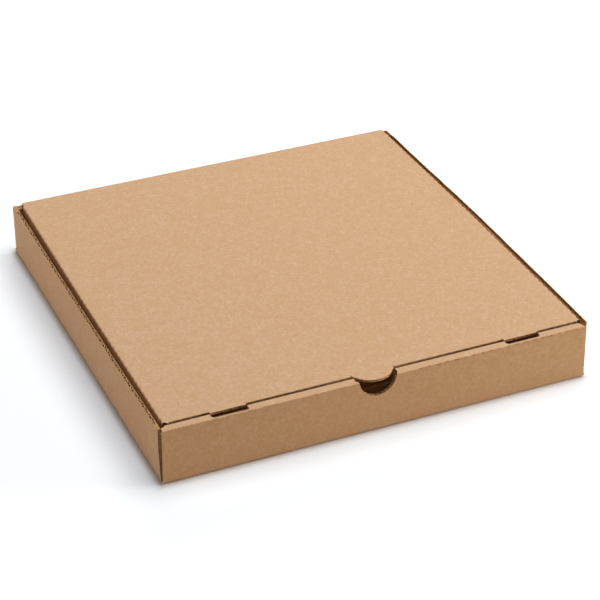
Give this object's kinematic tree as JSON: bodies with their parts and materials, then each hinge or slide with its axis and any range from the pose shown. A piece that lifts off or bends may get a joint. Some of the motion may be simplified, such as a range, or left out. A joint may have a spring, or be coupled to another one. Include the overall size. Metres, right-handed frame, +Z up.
{
  "type": "corrugated pizza box",
  "caption": "Flat square brown corrugated pizza box with a hinged tuck-in lid, a roll-over front edge, lock tabs and a finger hole with a thumb tab.",
  "frame": {"origin": "centre of the closed box's underside", "axes": "+Z up, -Y toward the front edge with the thumb tab, +X to the right as seen from the front"},
  "size_m": [0.305, 0.315, 0.04],
  "materials": {
    "kraft_board": "matt"
  },
  "bodies": {
    "tray": {"tray": "kraft_board"},
    "lid": {"lid": "kraft_board"}
  },
  "joints": [
    {"name": "lid_hinge", "type": "hinge", "parent": "tray", "child": "lid", "pos_m": [0, 0.1575, 0.0376], "axis": [-1, 0, 0], "range_deg": [0, 180]}
  ]
}
